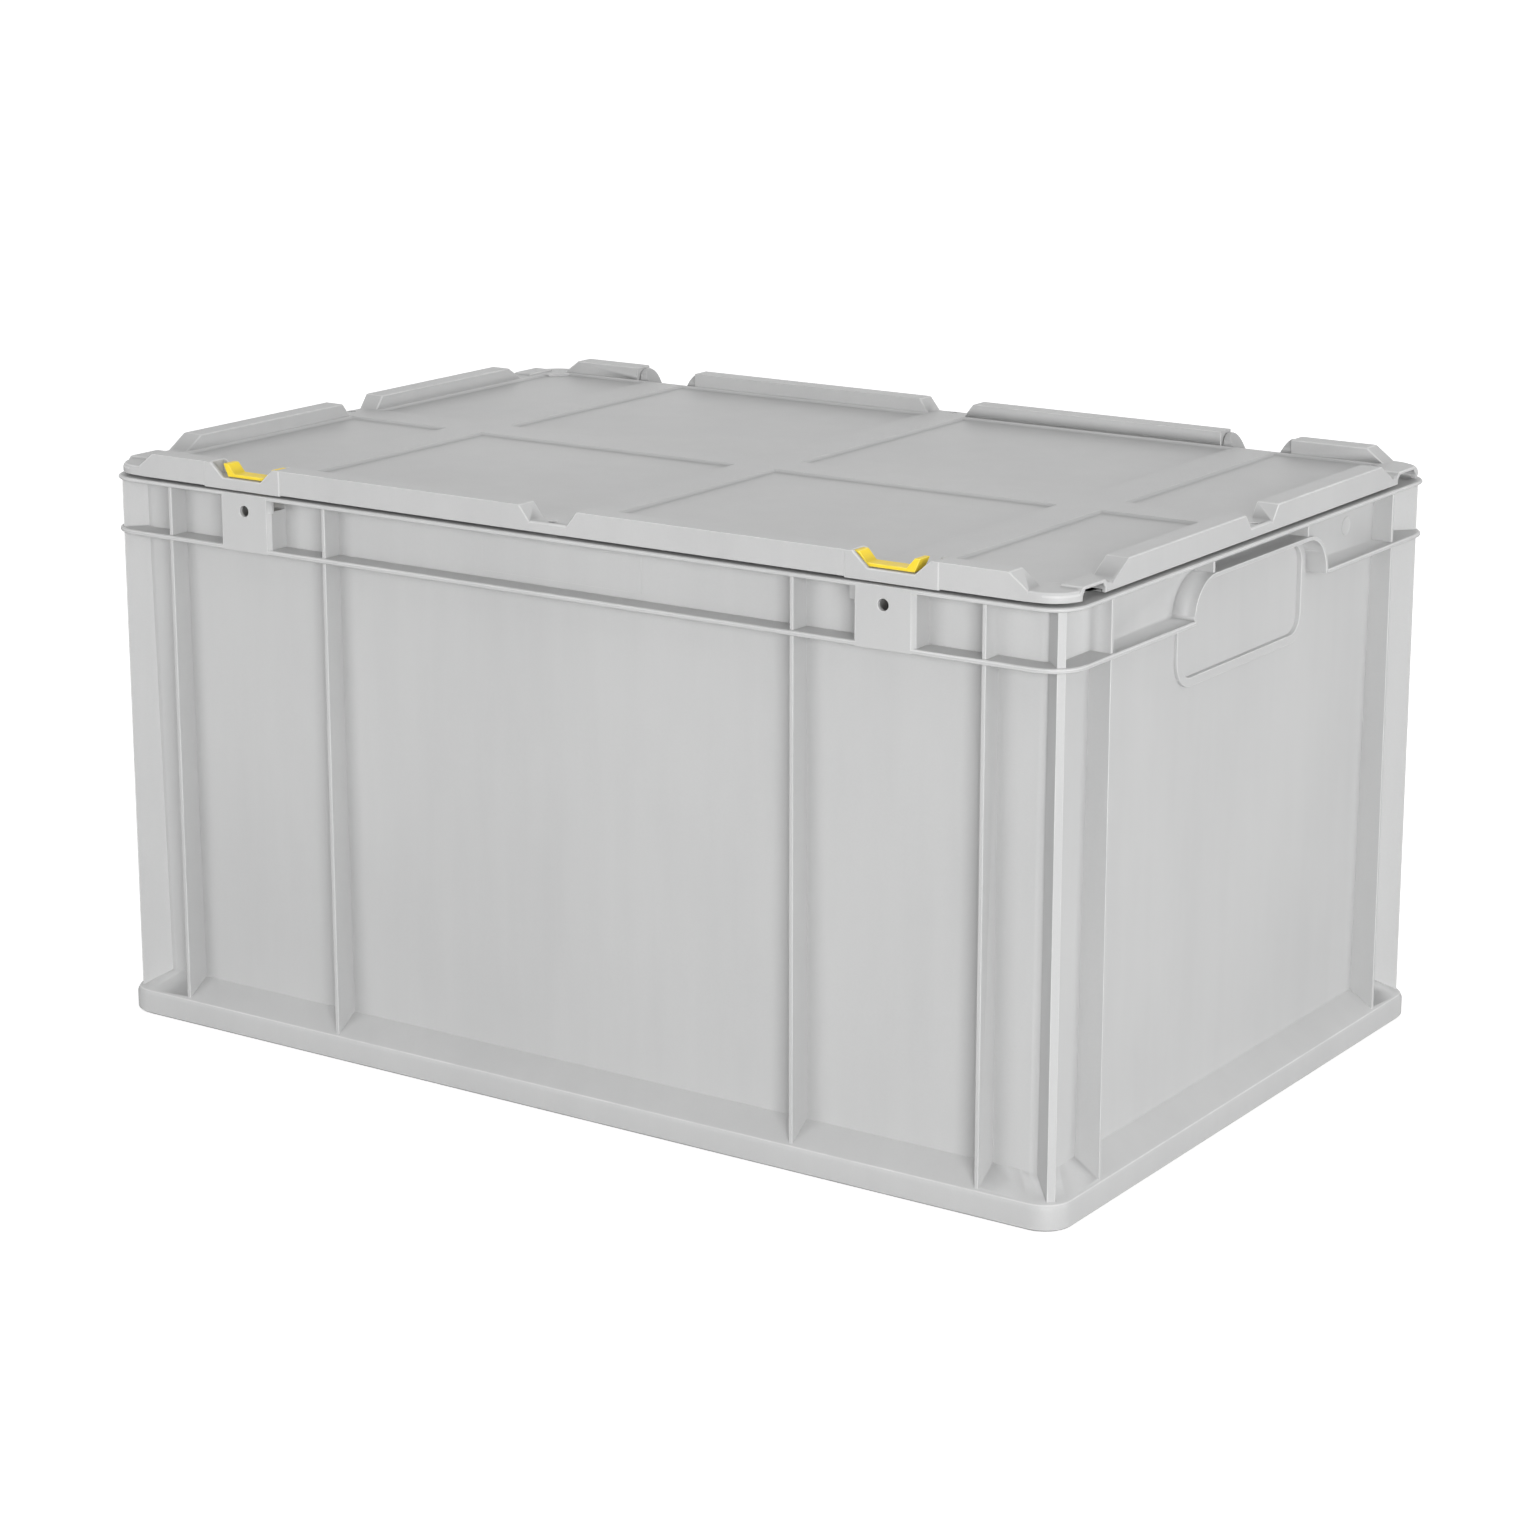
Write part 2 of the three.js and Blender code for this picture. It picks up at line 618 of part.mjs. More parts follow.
// The arches of the skirt: raised strips by the corners, opened from below.
function skirtArches(wall) {
  const made = [];
  const outer = HALF_LENGTH - LID_INSET + (wall > 0 ? 1 : 0);
  const low = wall > 0 ? LID_BOTTOM - 1 : PLATE_BOTTOM;
  const inner = HALF_LENGTH - LID_INSET - SKIRT_ARCH_DEPTH + wall;
  const top = SKIRT_ARCH_TOP - wall;
  for (const sideX of SIDES) {
    for (const sideY of SIDES) {
      const shape = outline([
        [sideY * (SKIRT_ARCH_NEAR + wall), low],
        [sideY * (SKIRT_ARCH_NEAR + wall), top - SKIRT_ARCH_RUN],
        [sideY * (SKIRT_ARCH_NEAR + wall + SKIRT_ARCH_RUN), top],
        [sideY * (SKIRT_ARCH_FAR - wall - SKIRT_ARCH_RUN), top],
        [sideY * (SKIRT_ARCH_FAR - wall), top - SKIRT_ARCH_RUN],
        [sideY * (SKIRT_ARCH_FAR - wall), low],
      ]);
      made.push(alongX(shape, sideX * inner, sideX * outer));
    }
  }
  return join(made);
}

// Slots for the latch tongues, vent holes in the centre notches, hinge notches and trunnion holes.
function lidOpenings() {
  const made = [];
  const low = LID_BOTTOM - 1;
  const vent = () => {
    const hole = new THREE.CylinderGeometry(VENT_RADIUS, VENT_RADIUS, 2 * REACH_PAST, 16);
    return hole.rotateX(Math.PI / 2);
  };
  for (const side of SIDES) {
    const slotStart = side * (LATCH_X - TONGUE_INWARD - TONGUE_CLEARANCE);
    const slotEnd = side * (LATCH_X + TONGUE_OUTWARD + LATCH_TRAVEL + TONGUE_CLEARANCE);
    made.push(
      block(
        [slotStart, -TONGUE_FRONT - TONGUE_CLEARANCE, low],
        [slotEnd, -TONGUE_BACK + TONGUE_CLEARANCE, LID_TOP + 1],
      ),
    );
    const notch = [side * CATCH_X - HINGE_NOTCH_HALF, HINGE_NOTCH_FRONT, LOCATING_BOTTOM];
    made.push(block(notch, [side * CATCH_X + HINGE_NOTCH_HALF, HALF_WIDTH, TOTAL_HEIGHT + 1]));
    made.push(solid(vent().translate(0, side * (HALF_WIDTH - VENT_INSET), LID_TOP)));
    made.push(solid(vent().translate(side * (HALF_LENGTH - VENT_INSET), 0, LID_TOP)));
    const trunnionHole = crossPin(TRUNNION_RADIUS + GAP, HINGE_NOTCH_HALF + TRUNNION_LENGTH);
    made.push(trunnionHole.translate(side * CATCH_X, 0, 0));
  }
  return join(made);
}

// A cylinder along the hinge line, centred on X = 0.
function crossPin(radius, half) {
  const pin = new THREE.CylinderGeometry(radius, radius, 2 * half, KNUCKLE_SIDES);
  return solid(pin.rotateZ(Math.PI / 2).translate(0, HINGE_Y, HINGE_Z));
}

// The raised pads on the skirt in front of the latches. They reach lower than the skirt beside them.
function latchPads() {
  const face = HALF_WIDTH - LID_INSET;
  const pads = SIDES.map((side) => {
    const centre = side * LATCH_NOTCH_X;
    const plan = outline([
      [centre - LATCH_PAD_HALF - LATCH_PAD_RISE, -face + 1],
      [centre - LATCH_PAD_HALF - LATCH_PAD_RISE, -face],
      [centre - LATCH_PAD_HALF, -face - LATCH_PAD_RISE],
      [centre + LATCH_PAD_HALF, -face - LATCH_PAD_RISE],
      [centre + LATCH_PAD_HALF + LATCH_PAD_RISE, -face],
      [centre + LATCH_PAD_HALF + LATCH_PAD_RISE, -face + 1],
    ]);
    return solid(extrusion(plan, TOTAL_HEIGHT - LATCH_PAD_BOTTOM).translate(0, 0, LATCH_PAD_BOTTOM));
  });
  return join(pads).subtract(latchNotches());
}

// The room that the latch notches leave, from the floor of the notch up.
function latchNotches() {
  const half = LATCH_NOTCH_HALF;
  const wide = half + LATCH_NOTCH_RUN;
  const notches = SIDES.map((side) => {
    const centre = side * LATCH_NOTCH_X;
    const shape = outline([
      [centre - half, LID_TOP],
      [centre + half, LID_TOP],
      [centre + wide, TOTAL_HEIGHT],
      [centre + wide, TOTAL_HEIGHT + 1],
      [centre - wide, TOTAL_HEIGHT + 1],
      [centre - wide, TOTAL_HEIGHT],
    ]);
    return alongY(shape, -HALF_WIDTH - 1, -HALF_WIDTH + LID_INSET + RAIL_DEPTH + 1);
  });
  return join(notches);
}

// The pockets behind the front sheet of the rails, as long as the latches and their travel.
function latchPockets() {
  const pockets = SIDES.map((side) => {
    const nearCorner = [side * POCKET_START, -POCKET_FRONT, LID_TOP];
    return block(nearCorner, [side * POCKET_END, -POCKET_BACK, TOTAL_HEIGHT + 1]);
  });
  return join(pockets);
}

// What the skirt gives up along the back, so that its edge clears the rim as the lid swings.
function hingeSkirtRelief() {
  const inner = [-HALF_LENGTH, HINGE_NOTCH_FRONT, LID_BOTTOM - 1];
  return block(inner, [HALF_LENGTH, HALF_WIDTH, HINGE_SKIRT_BOTTOM]);
}

function lid() {
  const skirtInset = LID_INSET + SKIRT_THICKNESS;
  const underside = tray(skirtInset, skirtInset, LID_BOTTOM - 1, PLATE_BOTTOM, LID_CORNER);
  const restInset = LID_INSET + RAIL_DEPTH - RAIL_WALL;
  const shell = loft(LID_EDGE_PROFILE, LID_CORNER, LID_INSET)
    .subtract(underside)
    .subtract(panels())
    .subtract(bandGrooves())
    .add(skirtArches(0))
    .add(allRails(0))
    .add(latchPads())
    .subtract(railHollows())
    .subtract(skirtArches(SKIRT_ARCH_WALL))
    .subtract(latchPockets())
    .subtract(hingeSkirtRelief());
  const locating = lidRing(LOCATING_INSET, LOCATING_INSET + LOCATING_THICKNESS, LOCATING_BOTTOM);
  const resting = lidRing(restInset, restInset + RAIL_WALL, RIM_TOP + GAP);
  return shell.add(locating).add(resting).subtract(lidOpenings());
}

// One slide latch, pushed towards the middle of the box.
function slideLatch(side) {
  const bottom = LID_TOP + GAP;
  const plateTop = bottom + LATCH_PLATE_THICKNESS;
  const right = [
    [LATCH_PLATE_HALF, bottom],
    [LATCH_WING_TOP_HALF, LATCH_WING_TOP],
    [LATCH_TROUGH_TOP_HALF, LATCH_WING_TOP],
    [LATCH_TROUGH_HALF, plateTop],
  ];
  const left = right.map(([x, z]) => [-x, z]).reverse();
  const channel = alongY(outline([...right, ...left]), -LATCH_FRONT, -LATCH_BACK);
  const tongue = block(
    [-side * TONGUE_INWARD, -TONGUE_FRONT, TONGUE_BOTTOM],
    [side * TONGUE_OUTWARD, -TONGUE_BACK, bottom + LATCH_PLATE_THICKNESS / 2],
  );
  const toe = block([0, -TONGUE_FRONT, TONGUE_BOTTOM], [side * TOE_OUTWARD, -TONGUE_BACK, TOE_TOP]);
  return join([channel, tongue, toe]).translate(side * LATCH_X, 0, 0);
}

// One hinge clip: a floor strip between two rounded knuckles, with a tongue into the catch block.
function hingeClip(side) {
  const bottom = RIM_TOP + GAP;
  const crest = HINGE_Z + KNUCKLE_RADIUS;
  const face = outline([
    [-CLIP_HALF, bottom],
    [CLIP_HALF, bottom],
    [CLIP_HALF, crest],
    [CLIP_CREST, crest],
    [CLIP_FLOOR_HALF, CLIP_FLOOR_TOP],
    [-CLIP_FLOOR_HALF, CLIP_FLOOR_TOP],
    [-CLIP_CREST, crest],
    [-CLIP_HALF, crest],
  ]);
  const knuckles = crossPin(KNUCKLE_RADIUS, CLIP_HALF)
    .add(block([-CLIP_HALF, HINGE_Y, bottom], [CLIP_HALF, CLIP_BACK, HINGE_Z]))
    .add(block([-CLIP_HALF, CLIP_FRONT, bottom], [CLIP_HALF, CLIP_BACK, CLIP_FLOOR_TOP]));
  const body = knuckles.intersect(alongY(face, CLIP_FRONT - 1, HALF_WIDTH));
  const tongue = block(
    [-CLIP_TONGUE_HALF, TONGUE_BACK, CLIP_TONGUE_BOTTOM],
    [CLIP_TONGUE_HALF, TONGUE_FRONT, bottom + 1],
  );
  const barb = block(
    [-CLIP_BARB_HALF, TONGUE_BACK, CLIP_BARB_BOTTOM],
    [CLIP_BARB_HALF, TONGUE_FRONT, RIM_BOTTOM - GAP],
  );
  const pins = crossPin(TRUNNION_RADIUS, CLIP_HALF + TRUNNION_LENGTH);
  const ends = pins.subtract(block([-CLIP_CREST, 0, 0], [CLIP_CREST, HALF_WIDTH, TOTAL_HEIGHT]));
  return join([body, ends, tongue, barb]).translate(side * CATCH_X, 0, 0);
}

const box = new THREE.Group();
box.add(part("box_body", boxBody(), GREY));
box.add(part("lid", lid(), GREY));
box.add(part("slide_latch_left", slideLatch(-1), YELLOW));
box.add(part("slide_latch_right", slideLatch(1), YELLOW));
box.add(part("hinge_clip_left", hingeClip(-1), CLIP_GREY));
box.add(part("hinge_clip_right", hingeClip(1), CLIP_GREY));

export default box;
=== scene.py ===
"""A stacking storage box with a hinged lid, two slide latches and two hinge clips, in a plain studio.

Everything is in metres: X runs along the long side, -Y is the front, +Z is up and Z = 0 is the floor.
"""

import logging
import math
from dataclasses import dataclass, field
from enum import Enum

import bmesh
import bpy
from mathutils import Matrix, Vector
from mathutils.bvhtree import BVHTree
from mathutils.kdtree import KDTree


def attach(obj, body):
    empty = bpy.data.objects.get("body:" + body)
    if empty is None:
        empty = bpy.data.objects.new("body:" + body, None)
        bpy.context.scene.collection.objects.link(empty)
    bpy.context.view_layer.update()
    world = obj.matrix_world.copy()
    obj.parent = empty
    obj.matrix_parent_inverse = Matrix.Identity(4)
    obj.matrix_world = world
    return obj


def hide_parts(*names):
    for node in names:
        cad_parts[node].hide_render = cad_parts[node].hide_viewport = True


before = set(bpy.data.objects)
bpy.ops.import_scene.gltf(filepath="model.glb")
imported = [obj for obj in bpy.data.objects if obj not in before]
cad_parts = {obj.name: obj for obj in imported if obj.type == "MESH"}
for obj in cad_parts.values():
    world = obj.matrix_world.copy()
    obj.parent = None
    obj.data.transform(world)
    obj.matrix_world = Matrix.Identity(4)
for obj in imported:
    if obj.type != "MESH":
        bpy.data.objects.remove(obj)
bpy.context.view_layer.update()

logging.basicConfig(level=logging.INFO, format="%(message)s")
log = logging.getLogger("storage_box")

MM = 0.001

# Edge rounding. Angles are in degrees.
EDGE_ATTRIBUTE = "moulded_edge"
MERGE_DISTANCE = 0.004 * MM
FLAT_ANGLE = 0.6
ROUNDED_ANGLE = 28.0
ROUNDING_SHARE = 0.45
LEAST_ROUNDING = 0.02 * MM
ROUNDING_TRIES = 6
SMOOTH_ANGLE = 42.0
LARGE_FACE_WEIGHT = 90

Point = tuple[float, float, float]
Colour = tuple[float, float, float, float]
Span = tuple[float, float]

WHITE: Colour = (1.0, 1.0, 1.0, 1.0)


class Slot(Enum):
    """The record's material slots."""

    GREY = "grey_plastic"
    YELLOW = "yellow_plastic"
    CLIP = "clip_plastic"


class Body(Enum):
    """The bodies that pieces ride on."""

    BOX = "box"
    LID = "lid"
    LATCH_LEFT = "latch_left"
    LATCH_RIGHT = "latch_right"


# Wiring of materials.


@dataclass
class Wiring:
    """Adds and joins the nodes of one node tree."""

    tree: bpy.types.NodeTree

    def add(self, kind: str, **inputs: object) -> bpy.types.Node:
        """Adds a node and sets some of its inputs.

        Args:
            kind: The node's type, such as "ShaderNodeTexNoise".
            inputs: Input names, with underscores for spaces, and their values.

        Returns:
            The new node.
        """
        node = self.tree.nodes.new(kind)
        for name, value in inputs.items():
            node.inputs[name.replace("_", " ")].default_value = value
        return node

    def math(self, operation: str, a: object, b: object = 0.0, clamp: bool = False) -> bpy.types.NodeSocket:
        """Adds a math node.

        Args:
            operation: The math node's operation.
            a: The first number or socket.
            b: The second number or socket.
            clamp: True to keep the result between 0 and 1.

        Returns:
            The node's output.
        """
        node = self.tree.nodes.new("ShaderNodeMath")
        node.operation = operation
        node.use_clamp = clamp
        for socket, value in zip(node.inputs, (a, b)):
            self.feed(value, socket)
        return node.outputs[0]

    def mix(self, factor: object, a: object, b: object) -> bpy.types.NodeSocket:
        """Mixes two colours.

        Args:
            factor: How much of the second colour, as a number or a socket.
            a: The first colour or socket.
            b: The second colour or socket.

        Returns:
            The mixed colour's output.
        """
        node = self.tree.nodes.new("ShaderNodeMix")
        node.data_type = "RGBA"
        for socket, value in zip((node.inputs[0], node.inputs[6], node.inputs[7]), (factor, a, b)):
            self.feed(value, socket)
        return node.outputs[2]

    def band(self, value: object, span: Span) -> bpy.types.NodeSocket:
        """Spreads a span of values smoothly over 0 to 1.

        Args:
            value: The socket to spread.
            span: The value that becomes 0 and the value that becomes 1.

        Returns:
            The spread value's output.
        """
        node = self.tree.nodes.new("ShaderNodeMapRange")
        node.interpolation_type = "SMOOTHSTEP"
        node.inputs["From Min"].default_value, node.inputs["From Max"].default_value = span
        self.feed(value, node.inputs["Value"])
        return node.outputs["Result"]

    def blend(self, a: object, b: object, share: float) -> bpy.types.NodeSocket:
        """Adds up two values in shares that make a whole.

        Args:
            a: The first number or socket.
            b: The second number or socket.
            share: The first one's share, from 0 to 1.

        Returns:
            The sum's output.
        """
        return self.math("ADD", self.math("MULTIPLY", a, share), self.math("MULTIPLY", b, 1.0 - share))

    def feed(self, value: object, socket: bpy.types.NodeSocket) -> None:
        """Links a socket, or sets a plain value.

        Args:
            value: An output socket, a number or a colour.
            socket: The input to feed.
        """
        if isinstance(value, bpy.types.NodeSocket):
            self.tree.links.new(value, socket)
        else:
            socket.default_value = value


@dataclass
class EffectGroup:
    """A shader node group that puts out masks, values or colours."""

    name: str
    tree: bpy.types.NodeTree = field(init=False)
    wiring: Wiring = field(init=False)

    def __post_init__(self) -> None:
        """Makes the empty group."""
        self.tree = bpy.data.node_groups.new(self.name, "ShaderNodeTree")
        self.wiring = Wiring(self.tree)

    def inputs(self, **sockets: str) -> bpy.types.Node:
        """Gives the group its inputs.

        Args:
            sockets: Input names and socket types.

        Returns:
            The group's input node.
        """
        for name, kind in sockets.items():
            self.tree.interface.new_socket(name=name, in_out="INPUT", socket_type=kind)
        return self.tree.nodes.new("NodeGroupInput")

    def outputs(self, **values: bpy.types.NodeSocket) -> None:
        """Gives the group its outputs.

        Args:
            values: Output names and the sockets that feed them.
        """
        kinds = {"RGBA": "NodeSocketColor", "VALUE": "NodeSocketFloat", "VECTOR": "NodeSocketVector"}
        for name, value in values.items():
            self.tree.interface.new_socket(name=name, in_out="OUTPUT", socket_type=kinds[value.type])
        end = self.tree.nodes.new("NodeGroupOutput")
        for name, value in values.items():
            self.tree.links.new(value, end.inputs[name])


def stretched(wiring: Wiring, place: bpy.types.NodeSocket, scale: Point) -> bpy.types.NodeSocket:
    """Scales a place for a pattern.

    Args:
        wiring: The tree to add to.
        place: The place on the piece.
        scale: The pattern's scale along each axis.

    Returns:
        The scaled place.
    """
    node = wiring.add("ShaderNodeMapping", Scale=scale)
    wiring.tree.links.new(place, node.inputs["Vector"])
    return node.outputs["Vector"]


@dataclass(frozen=True)
class Pattern:
    """A noise pattern: features per metre, octaves of finer noise and how strong those are."""

    scale: float
    detail: float
    rough: float = 0.5


def noise(wiring: Wiring, place: bpy.types.NodeSocket, pattern: Pattern) -> bpy.types.NodeSocket:
    """Adds a noise pattern.

    Args:
        wiring: The tree to add to.
        place: The place on the piece.
        pattern: The pattern's settings.

    Returns:
        The noise, from 0 to 1.
    """
    node = wiring.add(
        "ShaderNodeTexNoise", Scale=pattern.scale, Detail=pattern.detail, Roughness=pattern.rough
    )
    wiring.tree.links.new(place, node.inputs["Vector"])
    return node.outputs["Fac"]


COARSE_GRAIN = Pattern(1100.0, 2.0)
FINE_GRAIN = Pattern(3600.0, 1.0)
COARSE_SHARE = 0.65
SPECKLE_SPAN: Span = (0.35, 0.65)


def build_spark_grain() -> bpy.types.NodeTree:
    """The fine grain that a spark-eroded mould leaves on plastic.

    Returns:
        The group, with the outputs Height and Speckle.
    """
    group = EffectGroup("spark_grain")
    w = group.wiring
    given = group.inputs(Place="NodeSocketVector", Strength="NodeSocketFloat")
    coarse = noise(w, given.outputs["Place"], COARSE_GRAIN)
    fine = noise(w, given.outputs["Place"], FINE_GRAIN)
    grain = w.blend(coarse, fine, COARSE_SHARE)
    height = w.math("MULTIPLY", grain, given.outputs["Strength"])
    speckle = w.band(grain, SPECKLE_SPAN)
    group.outputs(Height=height, Speckle=speckle)
    return group.tree


FLOW_CLOUDS = Pattern(7.0, 3.0)
CLOUD_STRETCH: Point = (1.0, 1.0, 0.6)
CLOUD_SHARE = 0.7
FLOW_STREAKS = Pattern(60.0, 3.0, 0.6)
STREAK_STRETCH: Point = (1.0, 1.0, 0.12)
DRIFT_SPAN: Span = (0.3, 0.7)
DRIFT_SHARE = 0.75


def build_melt_flow() -> bpy.types.NodeTree:
    """Slow lighter and darker drifts in the colour, drawn out along the flow of the melt.

    Returns:
        The group, with the output Colour.
    """
    group = EffectGroup("melt_flow")
    w = group.wiring
    given = group.inputs(
        Place="NodeSocketVector", Light="NodeSocketColor", Dark="NodeSocketColor", Speckle="NodeSocketFloat"
    )
    clouds = noise(w, stretched(w, given.outputs["Place"], CLOUD_STRETCH), FLOW_CLOUDS)
    streaks = noise(w, stretched(w, given.outputs["Place"], STREAK_STRETCH), FLOW_STREAKS)
    shade = w.band(w.blend(clouds, streaks, CLOUD_SHARE), DRIFT_SPAN)
    speckled = w.blend(shade, given.outputs["Speckle"], DRIFT_SHARE)
    group.outputs(Colour=w.mix(speckled, given.outputs["Dark"], given.outputs["Light"]))
    return group.tree


# Patches that break up the painted highlight on the rounded edges.
EDGE_HIGHLIGHT_PATCHES = Pattern(38.0, 4.0, 0.65)
EDGE_HIGHLIGHT_SPAN: Span = (0.3, 0.7)
LEAST_EDGE_HIGHLIGHT = 0.4


def build_painted_edge_highlight() -> bpy.types.NodeTree:
    """The mask for a painted highlight on the rounded edges, which the materials also use to lower the
    roughness there, broken up along their length.

    Returns:
        The group, with the output Mask.
    """
    group = EffectGroup("painted_edge_highlight")
    w = group.wiring
    given = group.inputs(Place="NodeSocketVector", Edge="NodeSocketFloat", Amount="NodeSocketFloat")
    patches = w.band(noise(w, given.outputs["Place"], EDGE_HIGHLIGHT_PATCHES), EDGE_HIGHLIGHT_SPAN)
    uneven = w.math("ADD", w.math("MULTIPLY", patches, 1.0 - LEAST_EDGE_HIGHLIGHT), LEAST_EDGE_HIGHLIGHT)
    highlighted = w.math("MULTIPLY", given.outputs["Edge"], uneven)
    group.outputs(Mask=w.math("MULTIPLY", highlighted, given.outputs["Amount"], True))
    return group.tree


DUST_PATCHES = Pattern(22.0, 5.0, 0.6)
DUST_SPAN: Span = (0.35, 0.75)
UPWARD_SPAN: Span = (0.6, 1.0)


def build_settled_dust() -> bpy.types.NodeTree:
    """A thin film of dust on faces that look up.

    Returns:
        The group, with the output Mask.
    """
    group = EffectGroup("settled_dust")
    w = group.wiring
    given = group.inputs(Place="NodeSocketVector", Amount="NodeSocketFloat")
    split = w.add("ShaderNodeSeparateXYZ")
    geometry = w.add("ShaderNodeNewGeometry")
    w.tree.links.new(geometry.outputs["Normal"], split.inputs[0])
    upward = w.band(split.outputs["Z"], UPWARD_SPAN)
    patches = w.band(noise(w, given.outputs["Place"], DUST_PATCHES), DUST_SPAN)
    settled = w.math("MULTIPLY", upward, patches)
    group.outputs(Mask=w.math("MULTIPLY", settled, given.outputs["Amount"], True))
    return group.tree


DUST_COLOUR: Colour = (0.62, 0.6, 0.56, 1.0)
DUST_ROUGHENS = 0.25
POLISH_SMOOTHS = 0.12
GRAIN_DEPTH = 0.07 * MM
PLASTIC_IOR = 1.49


@dataclass(frozen=True)
class MouldedPlastic:
    """A moulded plastic finish, with a painted highlight in the edge colour on its rounded edges."""

    name: str
    light: Colour
    dark: Colour
    # edge is a lighter colour painted on the rounded edges as a highlight, where they catch light.
    edge: Colour
    roughness: float
    rough_spread: float
    grain: float
    edge_highlight_amount: float
    dust: float
    specular: float = 0.5

    def build(self, groups: dict[str, bpy.types.NodeTree]) -> bpy.types.Material:
        """Makes the material.

        Args:
            groups: The shared effect groups by name.

        Returns:
            The material.
        """
        material = bpy.data.materials.new(self.name)
        material.use_nodes = True
        tree = material.node_tree
        tree.nodes.clear()
        w = Wiring(tree)
        place = w.add("ShaderNodeTexCoord").outputs["Object"]

        def effect(name: str, **values: object) -> bpy.types.Node:
            """Places a shared effect.

            Args:
                name: The group's name.
                values: Its inputs.

            Returns:
                The group node.
            """
            node = tree.nodes.new("ShaderNodeGroup")
            node.node_tree = groups[name]
            tree.links.new(place, node.inputs["Place"])
            for key, value in values.items():
                w.feed(value, node.inputs[key])
            return node

        edge = tree.nodes.new("ShaderNodeAttribute")
        edge.attribute_name = EDGE_ATTRIBUTE
        grain = effect("spark_grain", Strength=1.0)
        flow = effect("melt_flow", Light=self.light, Dark=self.dark, Speckle=grain.outputs["Speckle"])
        # Mask of the painted highlight on the rounded edges; it also lowers their roughness a little.
        highlight_mask = effect("painted_edge_highlight", Edge=edge.outputs["Fac"], Amount=self.edge_highlight_amount).outputs["Mask"]
        dust = effect("settled_dust", Amount=self.dust).outputs["Mask"]
        # Mixes in the edge colour on the rounded edges: a painted highlight.
        highlighted = w.mix(highlight_mask, flow.outputs["Colour"], self.edge)
        colour = w.mix(dust, highlighted, DUST_COLOUR)
        satin = w.math("MULTIPLY", w.math("SUBTRACT", grain.outputs["Speckle"], 0.5), self.rough_spread)
        base = w.math("ADD", satin, self.roughness)
        dulled = w.math("ADD", base, w.math("MULTIPLY", dust, DUST_ROUGHENS))
        roughness = w.math("SUBTRACT", dulled, w.math("MULTIPLY", highlight_mask, POLISH_SMOOTHS), True)
        bump = w.add("ShaderNodeBump", Strength=self.grain, Distance=GRAIN_DEPTH)
        tree.links.new(grain.outputs["Height"], bump.inputs["Height"])
        shader = w.add("ShaderNodeBsdfPrincipled")
        shader.inputs["IOR"].default_value = PLASTIC_IOR
        shader.inputs["Specular IOR Level"].default_value = self.specular
        tree.links.new(colour, shader.inputs["Base Color"])
        tree.links.new(roughness, shader.inputs["Roughness"])
        tree.links.new(bump.outputs["Normal"], shader.inputs["Normal"])
        end = tree.nodes.new("ShaderNodeOutputMaterial")
        tree.links.new(shader.outputs["BSDF"], end.inputs["Surface"])
        return material


GREY_PLASTIC = MouldedPlastic(
    name="grey_satin_plastic",
    light=(0.535, 0.537, 0.536, 1.0),
    dark=(0.485, 0.487, 0.488, 1.0),
    # The edge colour is a painted highlight on the rounded edges.
    edge=(0.68, 0.68, 0.678, 1.0),
    roughness=0.5,
    rough_spread=0.14,
    grain=0.9,
    edge_highlight_amount=0.75,
    dust=0.05,
    specular=0.5,
)
YELLOW_PLASTIC = MouldedPlastic(
    name="yellow_latch_plastic",
    light=(0.93, 0.70, 0.04, 1.0),
    dark=(0.88, 0.64, 0.03, 1.0),
    # The edge colour is a painted highlight on the rounded edges.
    edge=(0.96, 0.80, 0.16, 1.0),
    roughness=0.5,
    rough_spread=0.06,
    grain=0.2,
    edge_highlight_amount=0.6,
    dust=0.0,
    specular=0.3,
)
CLIP_PLASTIC = MouldedPlastic(
    name="clip_smooth_plastic",
    light=(0.44, 0.442, 0.442, 1.0),
    dark=(0.415, 0.417, 0.418, 1.0),
    # The edge colour is a painted highlight on the rounded edges.
    edge=(0.5, 0.5, 0.5, 1.0),
    roughness=0.38,
    rough_spread=0.08,
    grain=0.25,
    edge_highlight_amount=0.6,
    dust=0.04,
)


@dataclass
class Finishes:
    """All materials of the object, built once."""

    made: dict[Slot, bpy.types.Material] = field(default_factory=dict)

    def build(self) -> None:
        """Builds the shared effects and the materials."""
        groups = {
            "spark_grain": build_spark_grain(),
            "melt_flow": build_melt_flow(),
            "painted_edge_highlight": build_painted_edge_highlight(),
            "settled_dust": build_settled_dust(),
        }
        self.made = {
            Slot.GREY: GREY_PLASTIC.build(groups),
            Slot.YELLOW: YELLOW_PLASTIC.build(groups),
            Slot.CLIP: CLIP_PLASTIC.build(groups),
        }


# Shaping with the usual operators.


def select_only(piece: bpy.types.Object) -> None:
    """Selects one object and makes it active.

    Args:
        piece: The object.
    """
    bpy.ops.object.select_all(action="DESELECT")
    piece.select_set(True)
    bpy.context.view_layer.objects.active = piece


